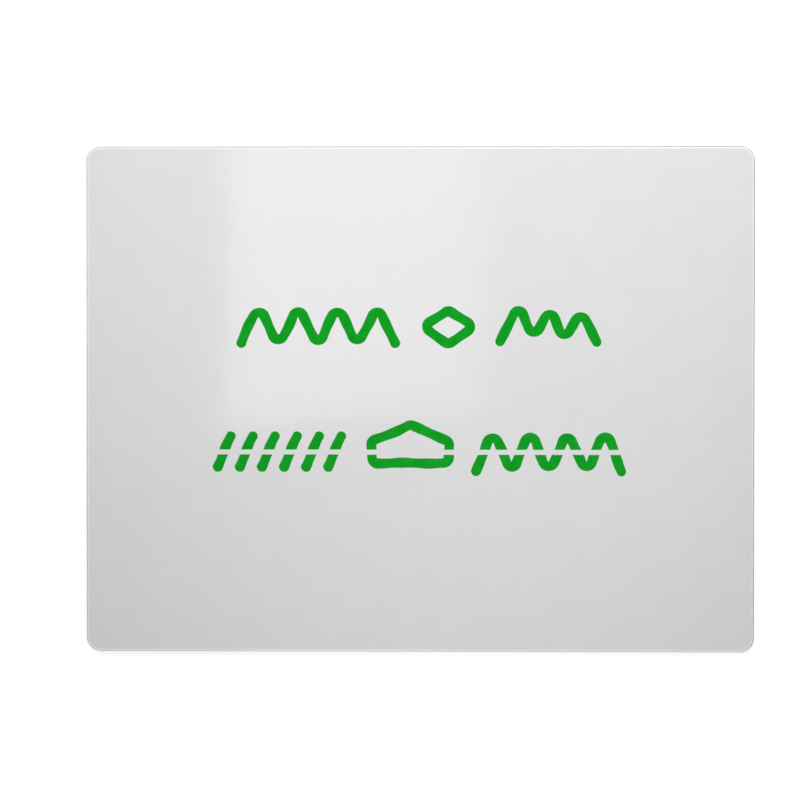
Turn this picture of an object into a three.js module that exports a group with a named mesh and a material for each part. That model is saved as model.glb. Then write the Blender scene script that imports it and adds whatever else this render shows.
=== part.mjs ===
// An unframed dry-erase board small enough to hold on a lap. White melamine sheets are glued to a thin
// hardboard core, with a plain sheet behind to keep it flat. The pressed stack is cut to shape, its
// corners are rounded, and its front and back edges are rounded over in one pass through all the layers.
//
// Millimetres, +Z up. The board lies on its back with the writing face up, its top edge towards +Y.
// The origin is the middle of the back face.

import * as THREE from 'three';

// The blank, as cut
const BOARD_WIDTH = 302; // nominal 12 in, less the saw's kerf
const BOARD_HEIGHT = 228.6; // 9 in
const CORNER_RADIUS = 6.35; // 1/4 in

// The layers' thicknesses, from the writing face to the back
const DECOR_THICKNESS = 0.12;
const BARRIER_THICKNESS = 0.13;
const FACE_GLUE_THICKNESS = 0.05;
const CORE_THICKNESS = 3;
const BACK_GLUE_THICKNESS = 0.05;
const BACKING_THICKNESS = 0.25;

// The edges. The front is sanded well round for the hand, and the back is only broken.
const FRONT_EDGE_RADIUS = 1.2;
const BACK_EDGE_RADIUS = 0.5;

// How finely the round shapes are cut into flats
const CORNER_DIVISIONS = 8;
const FRONT_EDGE_STEPS = 10;
const BACK_EDGE_STEPS = 5;
const SMALLEST_STEP = 0.02;

// From the back to the front, in the order that they lie
const layers = [
  { name: 'backing_sheet', thickness: BACKING_THICKNESS, color: 0x8d6b4c, roughness: 0.6 },
  { name: 'back_glue_film', thickness: BACK_GLUE_THICKNESS, color: 0xcdbd9a, roughness: 0.5 },
  { name: 'hardboard_core', thickness: CORE_THICKNESS, color: 0xa5835f, roughness: 0.85 },
  { name: 'face_glue_film', thickness: FACE_GLUE_THICKNESS, color: 0xe2d9c2, roughness: 0.5 },
  { name: 'white_barrier_sheet', thickness: BARRIER_THICKNESS, color: 0xf1efe9, roughness: 0.7 },
  { name: 'white_decor_sheet', thickness: DECOR_THICKNESS, color: 0xeff1f2, roughness: 0.15 },
];

const boardThickness = layers.reduce((sum, layer) => sum + layer.thickness, 0);

// How far a quarter-round edge has drawn in from the side at a depth below its face
function drawnIn(radius, depth) {
  if (depth >= radius) {
    return 0;
  }
  return radius - Math.sqrt(radius ** 2 - (radius - depth) ** 2);
}

// How far the whole stack's outline has drawn in at a height above the back face
function insetAt(height) {
  const front = drawnIn(FRONT_EDGE_RADIUS, boardThickness - height);
  const back = drawnIn(BACK_EDGE_RADIUS, height);
  return Math.max(front, back);
}

// The heights at which the rounded edges turn, even steps of angle round each quarter
function edgeHeights() {
  const heights = [];
  for (let step = 0; step <= BACK_EDGE_STEPS; step++) {
    const angle = (step / BACK_EDGE_STEPS) * (Math.PI / 2);
    heights.push(BACK_EDGE_RADIUS * (1 - Math.cos(angle)));
  }
  for (let step = 0; step <= FRONT_EDGE_STEPS; step++) {
    const angle = (step / FRONT_EDGE_STEPS) * (Math.PI / 2);
    heights.push(boardThickness - FRONT_EDGE_RADIUS * (1 - Math.sin(angle)));
  }
  return heights;
}

// The heights of one layer's rings: its two faces, and each turn of the edge between them
function ringHeights(bottom, top) {
  const between = edgeHeights().filter(
    (height) => height > bottom + SMALLEST_STEP && height < top - SMALLEST_STEP,
  );
  return [bottom, ...between, top];
}

// The board's outline, drawn in by an inset that its corners follow
function outline(inset) {
  const radius = CORNER_RADIUS - inset;
  const right = BOARD_WIDTH / 2 - CORNER_RADIUS;
  const top = BOARD_HEIGHT / 2 - CORNER_RADIUS;
  const shape = new THREE.Shape();
  shape.absarc(right, top, radius, 0, Math.PI / 2);
  shape.absarc(-right, top, radius, Math.PI / 2, Math.PI);
  shape.absarc(-right, -top, radius, Math.PI, (3 * Math.PI) / 2);
  shape.absarc(right, -top, radius, (3 * Math.PI) / 2, 2 * Math.PI);
  return shape.getPoints(CORNER_DIVISIONS);
}

// One layer of the stack: a closed skin through its rings, with a flat cap on each face
function layerGeometry(bottom, top) {
  const heights = ringHeights(bottom, top);
  const rings = heights.map((height) => outline(insetAt(height)));
  const count = rings[0].length;
  const vertices = rings.flatMap((ring, level) => ring.flatMap((point) => [point.x, point.y, heights[level]]));

  const faces = [];
  for (let level = 0; level + 1 < rings.length; level++) {
    for (let i = 0; i < count; i++) {
      const next = (i + 1) % count;
      const low = level * count;
      const high = low + count;
      faces.push(low + i, low + next, high + next);
      faces.push(low + i, high + next, high + i);
    }
  }
  const lastRing = (rings.length - 1) * count;
  for (const [a, b, c] of THREE.ShapeUtils.triangulateShape(rings[0], [])) {
    faces.push(c, b, a);
    faces.push(lastRing + a, lastRing + b, lastRing + c);
  }

  const geometry = new THREE.BufferGeometry();
  geometry.setAttribute('position', new THREE.Float32BufferAttribute(vertices, 3));
  geometry.setIndex(faces);
  geometry.computeVertexNormals();
  return geometry;
}

const board = new THREE.Group();

let height = 0;
for (const layer of layers) {
  const material = new THREE.MeshStandardMaterial({
    color: layer.color,
    roughness: layer.roughness,
    metalness: 0,
  });
  const mesh = new THREE.Mesh(layerGeometry(height, height + layer.thickness), material);
  mesh.name = layer.name;
  board.add(mesh);
  height += layer.thickness;
}

export default board;
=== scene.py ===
# An unframed dry-erase board lying on its back, seen from above, with marker strokes on its writing face
import math

import bpy
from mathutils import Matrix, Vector


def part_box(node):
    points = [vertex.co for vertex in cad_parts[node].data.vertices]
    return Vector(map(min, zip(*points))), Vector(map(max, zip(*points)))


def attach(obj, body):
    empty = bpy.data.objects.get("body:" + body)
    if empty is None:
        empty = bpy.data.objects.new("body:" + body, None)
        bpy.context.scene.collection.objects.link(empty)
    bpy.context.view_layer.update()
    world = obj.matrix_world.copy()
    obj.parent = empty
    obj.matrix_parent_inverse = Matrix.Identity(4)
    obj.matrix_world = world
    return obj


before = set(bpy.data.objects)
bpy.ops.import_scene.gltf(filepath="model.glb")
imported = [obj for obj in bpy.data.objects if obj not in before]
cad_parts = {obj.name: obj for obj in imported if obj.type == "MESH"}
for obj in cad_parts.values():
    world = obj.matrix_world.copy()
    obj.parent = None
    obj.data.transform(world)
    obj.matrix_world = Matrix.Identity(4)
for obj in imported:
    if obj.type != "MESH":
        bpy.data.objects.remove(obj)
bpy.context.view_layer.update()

# The camera hangs 0.9 m above the board with a long lens, so the board's sides hardly draw together.
# It is tilted less than a degree off square.
CAMERA_PLACE = (0.0023, 0.0104, 0.9)
CAMERA_TILT = (-0.681, 0.721, 0.036)
bpy.ops.object.camera_add(location=CAMERA_PLACE, rotation=[math.radians(angle) for angle in CAMERA_TILT])
camera = bpy.context.object
camera.data.sensor_width = 36
camera.data.lens = 89.27
bpy.context.scene.camera = camera
bpy.context.scene.view_settings.view_transform = "Standard"

# The floor is matt white card. It keeps the board's shadow, and the eye sees it under a white glow, so
# that it runs into the white of the room. The glow is half as strong near the board as far from it.
FLOOR_REACH = 8
NEAR, FAR = 0.12, 0.5
NEAR_GLOW, FAR_GLOW = 0.52, 1


def hex_colour(text):
    """The linear red, green, blue and alpha of an sRGB colour written #RRGGBB."""
    channels = [int(text[i:i + 2], 16) / 255 for i in (1, 3, 5)]
    return [c / 12.92 if c <= 0.04045 else ((c + 0.055) / 1.055) ** 2.4 for c in channels] + [1]


def add(tree, kind, sockets=None, **settings):
    """A new node. Each socket, by name or number, gets a value, or a link from another node's output."""
    made = tree.nodes.new(kind)
    for name, value in settings.items():
        setattr(made, name, value)
    for name, value in (sockets or {}).items():
        if isinstance(value, bpy.types.NodeSocket):
            tree.links.new(value, made.inputs[name])
        else:
            made.inputs[name].default_value = value
    return made


def eye_sees(tree):
    """1 for rays from the camera and for those that gloss or glass sends on, and 0 for light itself."""
    rays = add(tree, "ShaderNodeLightPath").outputs
    seen = rays["Is Camera Ray"]
    for other in ("Is Glossy Ray", "Is Transmission Ray"):
        seen = add(tree, "ShaderNodeMath", {0: seen, 1: rays[other]}, operation="MAXIMUM").outputs[0]
    return seen


def empty_material(name):
    """A new material with no nodes yet, and its node tree."""
    material = bpy.data.materials.new(name)
    material.use_nodes = True
    material.node_tree.nodes.clear()
    return material, material.node_tree


bpy.ops.mesh.primitive_plane_add(size=2 * FLOOR_REACH)
floor = bpy.context.object
floor.name = "floor"
material, tree = empty_material("White card floor")
card = add(tree, "ShaderNodeBsdfDiffuse", {"Color": hex_colour("#F2F2F1")})
place = add(tree, "ShaderNodeTexCoord").outputs["Object"]
away = add(tree, "ShaderNodeVectorMath", {0: place}, operation="LENGTH").outputs["Value"]
haze = add(
    tree,
    "ShaderNodeMapRange",
    {"Value": away, "From Min": NEAR, "From Max": FAR, "To Min": NEAR_GLOW, "To Max": FAR_GLOW},
    interpolation_type="SMOOTHSTEP",
)
strength = add(tree, "ShaderNodeMath", {0: eye_sees(tree), 1: haze.outputs[0]}, operation="MULTIPLY")
glow = add(tree, "ShaderNodeEmission", {"Color": hex_colour("#FFFFFF"), "Strength": strength.outputs[0]})
surface = add(tree, "ShaderNodeAddShader", {0: card.outputs[0], 1: glow.outputs[0]})
add(tree, "ShaderNodeOutputMaterial", {"Surface": surface.outputs[0]})
floor.data.materials.append(material)

# The room is lit softly from low on its white walls, so the board's thin edges are as light as its
# face. The ceiling is dark but for the lamps. The eye, and gloss, see the whole room as white.
WALL_LIGHT = 1
WALL_TOP, CEILING = 0.15, 0.35  # the walls' light falls off between these: 0 is level, 1 is overhead

# The Mix node has sockets named A and B for each kind of value, so they go by number.
SHARE, NUMBER_A, NUMBER_B = 0, 2, 3

world = bpy.data.worlds.new("White room")
bpy.context.scene.world = world
world.use_nodes = True
tree = world.node_tree
tree.nodes.clear()
direction = add(tree, "ShaderNodeTexCoord").outputs["Generated"]
climb = add(tree, "ShaderNodeSeparateXYZ", {"Vector": direction}).outputs["Z"]
walls = add(
    tree,
    "ShaderNodeMapRange",
    {"Value": climb, "From Min": WALL_TOP, "From Max": CEILING, "To Min": WALL_LIGHT, "To Max": 0},
    interpolation_type="SMOOTHSTEP",
)
strength = add(tree, "ShaderNodeMix", {SHARE: eye_sees(tree), NUMBER_A: walls.outputs[0], NUMBER_B: 1})
white = hex_colour("#FFFFFF")
room = add(tree, "ShaderNodeBackground", {"Color": white, "Strength": strength.outputs[0]})
add(tree, "ShaderNodeOutputWorld", {"Surface": room.outputs[0]})

# Three square softboxes hang close over the face, the strongest over the top right, so the face is
# lightest along its top and darkens to the bottom left. Two long strips lie low at the bottom and the
# left, and graze the rounded edges there while they hardly light the face.
SOFTBOX = (0.3, 0.3)
STRIP = (0.8, 0.08)
for name, lamp_place, size, power in (
    ("right_softbox", (0.19, 0.355, 0.35), SOFTBOX, 1.48),
    ("left_softbox", (-0.24, 0.24, 0.35), SOFTBOX, 0.74),
    ("middle_softbox", (0.04, -0.08, 0.35), SOFTBOX, 0.475),
    ("bottom_strip", (0, -0.7, 0.06), STRIP, 2.15),
    ("left_strip", (-0.7, 0, 0.06), STRIP, 0.6),
):
    bpy.ops.object.light_add(type="AREA", location=lamp_place)
    lamp = bpy.context.object
    lamp.name = name
    lamp.rotation_euler = Vector(lamp_place).to_track_quat("Z", "Y").to_euler()
    lamp.data.shape = "RECTANGLE"
    lamp.data.size, lamp.data.size_y = size
    lamp.data.energy = power
    lamp.visible_camera = False
    lamp.visible_glossy = False

# A lit ceiling panel shows as a pale block in the gloss of the face. It is brightest at its left and
# half as bright at its right, where its edge is soft, and it gives no light but that reflection.
PANEL_HEIGHT = 1.5
PANEL_NEAR_LEFT, PANEL_NEAR_RIGHT = (-0.2417, -0.0523), (0.112, -0.0235)
PANEL_FAR_LEFT, PANEL_FAR_RIGHT = (-0.2255, 0.5), (0.122, 0.5)
PANEL_STRENGTH = 3.4
BRIGHTEST_X, DIMMEST_X = -0.233, 0.047
DIM_SHARE = 0.52
SOFT_EDGE_START, SOFT_EDGE_END = 0.042, 0.102
bpy.ops.mesh.primitive_plane_add(size=2)
panel = bpy.context.object
panel.name = "ceiling_panel"
corners = (PANEL_NEAR_LEFT, PANEL_NEAR_RIGHT, PANEL_FAR_LEFT, PANEL_FAR_RIGHT)
for vertex, (x, y) in zip(panel.data.vertices, corners):
    vertex.co = (x, y, PANEL_HEIGHT)
material, tree = empty_material("Lit ceiling panel")
place = add(tree, "ShaderNodeTexCoord").outputs["Object"]
across = add(tree, "ShaderNodeSeparateXYZ", {"Vector": place}).outputs["X"]
dimming = add(
    tree,
    "ShaderNodeMapRange",
    {"Value": across, "From Min": BRIGHTEST_X, "From Max": DIMMEST_X, "To Min": 1, "To Max": DIM_SHARE},
)
ending = add(
    tree,
    "ShaderNodeMapRange",
    {"Value": across, "From Min": SOFT_EDGE_START, "From Max": SOFT_EDGE_END, "To Min": 1, "To Max": 0},
    interpolation_type="SMOOTHSTEP",
)
amount = add(tree, "ShaderNodeMath", {0: dimming.outputs[0], 1: ending.outputs[0]}, operation="MULTIPLY")
clear = add(tree, "ShaderNodeBsdfTransparent")
lit = add(tree, "ShaderNodeEmission", {"Color": hex_colour("#FFFFFF"), "Strength": PANEL_STRENGTH})
surface = add(tree, "ShaderNodeMixShader", {0: amount.outputs[0], 1: clear.outputs[0], 2: lit.outputs[0]})
add(tree, "ShaderNodeOutputMaterial", {"Surface": surface.outputs[0]})
material.cycles.emission_sampling = "NONE"
panel.data.materials.append(material)
panel.visible_camera = False
panel.visible_diffuse = False
panel.visible_shadow = False
panel.visible_transmission = False

# The backing is a sheet of brown kraft paper, which keeps a board faced on one side only from bowing.
# It is pulp fibre in a thin resin, glued on and sanded back at the edge. The eye gets a matt brown with
# short fibres along the sheet, and faint clouds where the pulp lay thicker.
MM = 0.001
COLOUR_A, COLOUR_B, MIXED_COLOUR = 6, 7, 2
PATTERN_LOW, PATTERN_HIGH = 0.3, 0.7  # noise seldom goes past these


def mottle(tree, size, detail=3, rough=0.5):
    """An uneven pattern on the piece's own coordinates, in spots of a size in mm along X, Y and Z."""
    place = add(tree, "ShaderNodeTexCoord").outputs["Object"]
    scale = [1 / (MM * length) for length in size]
    scaled = add(tree, "ShaderNodeMapping", {"Vector": place, "Scale": scale})
    noise = add(
        tree,
        "ShaderNodeTexNoise",
        {"Vector": scaled.outputs[0], "Scale": 1, "Detail": detail, "Roughness": rough},
    )
    return noise.outputs[0]


def two_tones(tree, pattern, dark, pale):
    """Two hex colours, mixed by a mottled pattern."""
    spread = add(
        tree,
        "ShaderNodeMapRange",
        {"Value": pattern, "From Min": PATTERN_LOW, "From Max": PATTERN_HIGH},
    )
    mix = add(
        tree,
        "ShaderNodeMix",
        {SHARE: spread.outputs[0], COLOUR_A: hex_colour(dark), COLOUR_B: hex_colour(pale)},
        data_type="RGBA",
    )
    return mix.outputs[MIXED_COLOUR]


def dress(layer, material):
    """One layer of the board shows this material."""
    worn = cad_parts[layer].data.materials
    worn.clear()
    worn.append(material)


material, tree = empty_material("Kraft paper backing")
fibres = mottle(tree, (2, 0.7, 0.7), detail=5, rough=0.6)
clouds = mottle(tree, (30, 20, 20), detail=2)
uneven = add(tree, "ShaderNodeMix", {SHARE: 0.4, NUMBER_A: fibres, NUMBER_B: clouds}).outputs[0]
rough = add(tree, "ShaderNodeMapRange", {"Value": fibres, "To Min": 0.6, "To Max": 0.85})
bump = add(tree, "ShaderNodeBump", {"Height": fibres, "Strength": 0.4, "Distance": 0.02 * MM})
shader = add(
    tree,
    "ShaderNodeBsdfPrincipled",
    {
        "Base Color": two_tones(tree, uneven, "#805E42", "#9B785B"),
        "Roughness": rough.outputs[0],
        "Normal": bump.outputs[0],
    },
)
add(tree, "ShaderNodeOutputMaterial", {"Surface": shader.outputs[0]})
dress("backing_sheet", material)

# Both glue lines are white wood glue, spread thin and pressed until it has dried. The eye gets a satin
# yellow line, deeper behind the core, where more of it has soaked into brown fibre.
for layer, dark, pale in (
    ("back_glue_film", "#C5B48F", "#D6C8A8"),
    ("face_glue_film", "#DCD1B7", "#EAE2CF"),
):
    material, tree = empty_material("Dried wood glue " + layer)
    soaked = two_tones(tree, mottle(tree, (6, 6, 1)), dark, pale)
    patches = mottle(tree, (1, 1, 1))
    rough = add(tree, "ShaderNodeMapRange", {"Value": patches, "To Min": 0.35, "To Max": 0.65})
    shader = add(tree, "ShaderNodeBsdfPrincipled", {"Base Color": soaked, "Roughness": rough.outputs[0]})
    add(tree, "ShaderNodeOutputMaterial", {"Surface": shader.outputs[0]})
    dress(layer, material)

# The core is hardboard, wood fibre pressed hot into a dense sheet. Its cut edge is matt and streaked
# along the sheet by the fibres. Along the top and the right it is browner in patches: painted shade,
# which keeps the edges that face the lamps from looking too light.
SHADE_DEPTH = 4 * MM
material, tree = empty_material("Hardboard sawn edge")
fibres = mottle(tree, (3, 3, 0.2), detail=5, rough=0.6)
wood = two_tones(tree, fibres, "#ADA194", "#CBC2B7")
place = add(tree, "ShaderNodeTexCoord").outputs["Object"]
where = add(tree, "ShaderNodeSeparateXYZ", {"Vector": place}).outputs
right_side, top_side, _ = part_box("hardboard_core")[1]
# painted shade: a darker brown in patches along the top and the right edges
shaded_runs = []
for axis, side in (("X", right_side), ("Y", top_side)):
    run = add(
        tree,
        "ShaderNodeMapRange",
        {"Value": where[axis], "From Min": side - SHADE_DEPTH, "From Max": side},
    )
    shaded_runs.append(run.outputs[0])
shaded_sides = add(tree, "ShaderNodeMath", {0: shaded_runs[0], 1: shaded_runs[1]}, operation="MAXIMUM")
shade_patches = mottle(tree, (45, 45, 45), detail=2)
shade_strength = add(tree, "ShaderNodeMapRange", {"Value": shade_patches, "To Min": 0.5, "To Max": 1})
painted_shade = add(tree, "ShaderNodeMath", {0: shaded_sides.outputs[0], 1: shade_strength.outputs[0]}, operation="MULTIPLY")
# the wood's colour with the painted shade mixed in
wood_and_shade = add(
    tree,
    "ShaderNodeMix",
    {SHARE: painted_shade.outputs[0], COLOUR_A: wood, COLOUR_B: hex_colour("#7F563F")},
    data_type="RGBA",
)
rough = add(tree, "ShaderNodeMapRange", {"Value": fibres, "To Min": 0.75, "To Max": 0.95})
bump = add(tree, "ShaderNodeBump", {"Height": fibres, "Strength": 0.8, "Distance": 0.08 * MM})
shader = add(
    tree,
    "ShaderNodeBsdfPrincipled",
    {
        "Base Color": wood_and_shade.outputs[MIXED_COLOUR],
        "Roughness": rough.outputs[0],
        "Normal": bump.outputs[0],
    },
)
add(tree, "ShaderNodeOutputMaterial", {"Surface": shader.outputs[0]})
dress("hardboard_core", material)

# Under the face lies an opaque white paper that hides the brown core, bonded in the same pressing. Its
# cut edge is matt and the whitest thing on the board: partly the paper's own white, partly a painted
# highlight that keeps a bright line along the rim.
material, tree = empty_material("White barrier paper")
# painted highlight: the cut edge is coloured whiter than the face
pulp_and_highlight = two_tones(tree, mottle(tree, (1.5, 1.5, 0.2)), "#F6F0E8", "#FCF8F2")
fibres = mottle(tree, (0.6, 0.6, 0.1))
rough = add(tree, "ShaderNodeMapRange", {"Value": fibres, "To Min": 0.55, "To Max": 0.8})
shader = add(tree, "ShaderNodeBsdfPrincipled", {"Base Color": pulp_and_highlight, "Roughness": rough.outputs[0]})
add(tree, "ShaderNodeOutputMaterial", {"Surface": shader.outputs[0]})
dress("white_barrier_sheet", material)

# The face is white paper soaked in melamine resin and pressed against a polished plate. It is glossy,
# with a faint orange peel, fine wiping marks and a few specks. Its sanded rim shows the paper, matt,
# and coloured far whiter than the face: partly the bare paper, partly a painted highlight along the edge.
FACE_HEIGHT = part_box("white_decor_sheet")[1][2]
RIM_FROM, RIM_ALL = 0.004 * MM, 0.016 * MM  # how far below the face
SPECK = 0.4 * MM
SPECK_SPACING = 40 * MM
PAPER_ROUGHNESS = 0.55
material, tree = empty_material("Melamine gloss sheet")
place = add(tree, "ShaderNodeTexCoord").outputs["Object"]
height = add(tree, "ShaderNodeSeparateXYZ", {"Vector": place}).outputs["Z"]
# the sanded rim, which is matt and carries a painted highlight
sanded_highlit_rim = add(
    tree,
    "ShaderNodeMapRange",
    {"Value": height, "From Min": FACE_HEIGHT - RIM_FROM, "From Max": FACE_HEIGHT - RIM_ALL},
).outputs[0]
resin = two_tones(tree, mottle(tree, (14, 14, 14), detail=4), "#E3E3E4", "#E5E5E6")
cells = add(
    tree,
    "ShaderNodeTexVoronoi",
    {"Vector": place, "Scale": 1 / SPECK_SPACING},
    voronoi_dimensions="2D",
)
chance = add(tree, "ShaderNodeSeparateXYZ", {"Vector": cells.outputs["Color"]}).outputs["X"]
darkness = add(tree, "ShaderNodeMapRange", {"Value": chance, "To Min": 0.4, "To Max": 1})
speck = add(
    tree,
    "ShaderNodeMapRange",
    {
        "Value": cells.outputs["Distance"],
        "From Min": SPECK / 2 / SPECK_SPACING,
        "From Max": SPECK / SPECK_SPACING,
        "To Min": darkness.outputs[0],
        "To Max": 0,
    },
)
speckled = add(
    tree,
    "ShaderNodeMix",
    {SHARE: speck.outputs[0], COLOUR_A: resin, COLOUR_B: hex_colour("#D4D1CB")},
    data_type="RGBA",
)
# painted highlight: the rim's colour is near white, whiter than the face, for a bright line along the
# edge
paper = add(
    tree,
    "ShaderNodeMix",
    {SHARE: sanded_highlit_rim, COLOUR_A: speckled.outputs[MIXED_COLOUR], COLOUR_B: hex_colour("#FCF8F3")},
    data_type="RGBA",
)
streaks = mottle(tree, (30, 1.2, 1.2), detail=4)
wiped = add(
    tree,
    "ShaderNodeMapRange",
    {"Value": streaks, "From Min": PATTERN_LOW, "From Max": PATTERN_HIGH, "To Min": 0.06, "To Max": 0.09},
)
rough = add(
    tree,
    "ShaderNodeMix",
    {SHARE: sanded_highlit_rim, NUMBER_A: wiped.outputs[0], NUMBER_B: PAPER_ROUGHNESS},
)
peel = mottle(tree, (3, 3, 3), detail=2)
bump = add(tree, "ShaderNodeBump", {"Height": peel, "Strength": 0.2, "Distance": 0.01 * MM})
shader = add(
    tree,
    "ShaderNodeBsdfPrincipled",
    {
        "Base Color": paper.outputs[MIXED_COLOUR],
        "Roughness": rough.outputs[0],
        "Normal": bump.outputs[0],
    },
)
add(tree, "ShaderNodeOutputMaterial", {"Surface": shader.outputs[0]})
dress("white_decor_sheet", material)

# The marks are strokes of green dry-erase marker in two rows, drawn by hand with a round tip. The ink
# dries to a thin film on the gloss, satin and a little cloudy. One pass of a cloth has wiped a clean line
# through the lower row.
TIP = 4.5 * MM
FILM = 0.03 * MM  # thicker than real ink, so that it stays a closed shape in the mesh
STEP = 0.4 * MM  # from one point of a stroke to the next
TURN = 2.5 * MM  # the radius of the tightest turn
DOME_STEPS = 6
CAP_STEPS = 8
WOBBLE = 0.2 * MM
WOBBLE_LENGTH = 23 * MM
PRESSURE = 0.05
CLOSE_POINTS = 0.001 * MM

# The section of a stroke is half an ellipse on the face.
dome = bpy.data.curves.new("stroke_section", "CURVE")
dome.dimensions = "2D"
arc = dome.splines.new("POLY")
arc.points.add(DOME_STEPS)
arc.use_cyclic_u = True
for k, point in enumerate(arc.points):
    turn = math.pi * k / DOME_STEPS
    point.co = (math.cos(turn) * TIP / 2, math.sin(turn) * FILM, 0, 1)
section = bpy.data.objects.new("stroke_section", dome)


def choose(*objects):
    """These objects alone are selected, the first of them active."""
    bpy.ops.object.select_all(action="DESELECT")
    for chosen in objects:
        chosen.select_set(True)
    bpy.context.view_layer.objects.active = objects[0]


def rounded_path(corners, closed):
    """The pen's path: straight runs joined by arcs that the tip can turn through."""
    path = []
    for i, corner in enumerate(corners):
        if not closed and i in (0, len(corners) - 1):
            path.append(corner)
            continue
        back = (corners[i - 1] - corner).normalized()
        on = (corners[(i + 1) % len(corners)] - corner).normalized()
        half = back.angle(on) / 2
        middle = corner + (back + on).normalized() * TURN / math.sin(half)
        first = corner + back * TURN / math.tan(half) - middle
        last = corner + on * TURN / math.tan(half) - middle
        steps = max(4, round((math.pi - 2 * half) * TURN / STEP))
        path += [middle + first.slerp(last, k / steps).normalized() * TURN for k in range(steps + 1)]
    return path + path[:1] if closed else path


def points_along(path, distances):
    """The points at these distances along a path."""
    made = []
    index, walked = 0, 0
    for distance in distances:
        while index < len(path) - 2 and walked + (path[index + 1] - path[index]).length < distance:
            walked += (path[index + 1] - path[index]).length
            index += 1
        run = path[index + 1] - path[index]
        made.append(path[index] + run.normalized() * (distance - walked))
    return made


def stations(total, closed):
    """Distances along a stroke of this length, and its width at each as a share of the tip."""
    if closed:
        count = round(total / STEP)
        return [total * i / count for i in range(count)], [1] * count
    reach = TIP / 2
    cap = [1 - math.cos(k / CAP_STEPS * math.pi / 2) for k in range(CAP_STEPS)]
    rise = [math.sqrt(1 - (1 - c) ** 2) for c in cap]
    count = round((total - 2 * reach) / STEP)
    between = [reach + (total - 2 * reach) * i / count for i in range(count + 1)]
    distances = [reach * c for c in cap] + between + [total - reach * c for c in reversed(cap)]
    return distances, rise + [1] * len(between) + rise[::-1]


def stroke(name, corners, closed=False):
    """One stroke of the pen as a domed film on the face. Its corners are in mm."""
    path = rounded_path([Vector(corner) * MM for corner in corners], closed)
    total = sum((b - a).length for a, b in zip(path, path[1:]))
    distances, widths = stations(total, closed)
    waves = 2 * math.pi * max(1, round(total / WOBBLE_LENGTH)) / total
    phase = total / MM
    places = points_along(path, distances)

    curve = bpy.data.curves.new(name, "CURVE")
    curve.dimensions = "2D"
    curve.fill_mode = "NONE"
    curve.bevel_mode = "OBJECT"
    curve.bevel_object = section
    spline = curve.splines.new("POLY")
    spline.points.add(len(distances) - 1)
    spline.use_cyclic_u = closed
    for point, place, distance, width in zip(spline.points, places, distances, widths):
        sway = WOBBLE * math.sin(waves * distance + phase)
        bob = WOBBLE * math.cos(waves * distance + 2 * phase)
        point.co = (place.x + sway, place.y + bob, 0, 1)
        point.radius = width * (1 + PRESSURE * math.sin(2 * waves * distance + phase))
    made = bpy.data.objects.new(name, curve)
    bpy.context.scene.collection.objects.link(made)
    choose(made)
    bpy.ops.object.convert(target="MESH")
    made = bpy.context.object

    bpy.ops.object.mode_set(mode="EDIT")
    bpy.ops.mesh.select_all(action="SELECT")
    bpy.ops.transform.translate(value=(0, 0, FACE_HEIGHT))
    bpy.ops.mesh.remove_doubles(threshold=CLOSE_POINTS)
    bpy.ops.mesh.normals_make_consistent(inside=False)
    bpy.ops.object.mode_set(mode="OBJECT")
    bpy.ops.object.shade_smooth_by_angle(angle=math.radians(30))
    return made


def peaks(left, right, low, high, count):
    """Corners of a line that runs up and down between two heights."""
    step = (right - left) / (2 * count)
    return [(left + i * step, high if i % 2 else low) for i in range(2 * count + 1)]


UPPER_LOW, UPPER_HIGH = 23.6, 42.8
diamond = [(1.2, 32.8), (12.9, 40.5), (24.6, 32.8), (12.9, 25.1)]
hills = [(35.4, 24.4), (44.6, 43.4), (51.4, 27.2), (58.6, 41.5), (65.2, 26.4), (72.4, 39.8), (81, 24.2)]
upper_row = [
    stroke("ink_wave", peaks(-81.8, -10.4, UPPER_LOW, UPPER_HIGH, 4)),
    stroke("ink_diamond", diamond, closed=True),
    stroke("ink_hills", hills),
]

LOWER_LOW, LOWER_HIGH = -32.6, -14.8
HATCHES = 6
HATCH_START, HATCH_PITCH, HATCH_SLANT = -92.6, 10, 8
lower_row = []
for i in range(HATCHES):
    left = HATCH_START + i * HATCH_PITCH
    slanted = [(left, LOWER_LOW), (left + HATCH_SLANT, LOWER_HIGH)]
    lower_row.append(stroke(f"ink_hatch_{i + 1}", slanted))
house = [(-21.7, -28.8), (-21.7, -19), (-4.2, -11.5), (13.3, -19), (13.3, -28.8)]
lower_row.append(stroke("ink_house", house, closed=True))
lower_row.append(stroke("ink_ripple", peaks(24.6, 92, -34.6, -13, 4)))
bpy.data.objects.remove(section)

# The cloth went straight across, and left the lower row in an upper and a lower part.
WIPED_LOW, WIPED_HIGH = -25.0 * MM, -22.7 * MM


def cut_across(mark, height, **keep):
    """The ink on one side of a line along the board is gone."""
    choose(mark)
    bpy.ops.object.mode_set(mode="EDIT")
    bpy.ops.mesh.select_all(action="SELECT")
    bpy.ops.mesh.bisect(plane_co=(0, height, 0), plane_no=(0, 1, 0), use_fill=True, **keep)
    bpy.ops.object.mode_set(mode="OBJECT")


for mark in lower_row:
    below = mark.copy()
    below.data = mark.data.copy()
    bpy.context.scene.collection.objects.link(below)
    cut_across(mark, WIPED_HIGH, clear_inner=True)
    cut_across(below, WIPED_LOW, clear_outer=True)
    choose(mark, below)
    bpy.ops.object.join()

material, tree = empty_material("Dry-erase marker ink")
ink = two_tones(tree, mottle(tree, (5, 5, 5), detail=4), "#0A991B", "#12A628")
grain = mottle(tree, (0.5, 0.5, 0.5))
rough = add(tree, "ShaderNodeMapRange", {"Value": grain, "To Min": 0.4, "To Max": 0.6})
shader = add(
    tree,
    "ShaderNodeBsdfPrincipled",
    {"Base Color": ink, "Roughness": rough.outputs[0], "Specular IOR Level": 0.06},
)
add(tree, "ShaderNodeOutputMaterial", {"Surface": shader.outputs[0]})
for mark in upper_row + lower_row:
    mark.data.materials.clear()
    mark.data.materials.append(material)
    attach(mark, "root")
